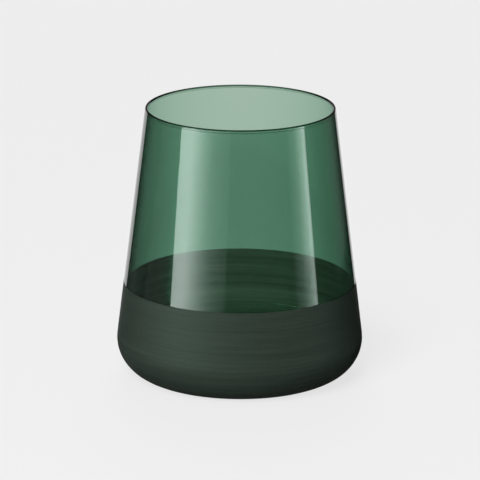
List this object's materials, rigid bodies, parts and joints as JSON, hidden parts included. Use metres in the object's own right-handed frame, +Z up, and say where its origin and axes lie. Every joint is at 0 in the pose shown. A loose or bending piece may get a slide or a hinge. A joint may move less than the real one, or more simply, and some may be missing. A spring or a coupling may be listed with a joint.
{
  "type": "water glass",
  "caption": "Green tinted glass tumbler that tapers in from a wide rounded foot to a thin lip, with a satin dark green coat over the lower third and underside.",
  "frame": {"origin": "middle of the foot, on the plane that the glass stands on", "axes": "+Z up along the axis of the glass; the glass is round, so +X and +Y may point anywhere around it"},
  "size_m": [0.0898, 0.0898, 0.1],
  "materials": {
    "tinted_glass": "polished",
    "satin_coat": "satin"
  },
  "bodies": {
    "root": {"glass_body": "tinted_glass", "side_coat": "satin_coat", "base_coat": "satin_coat"}
  },
  "joints": []
}
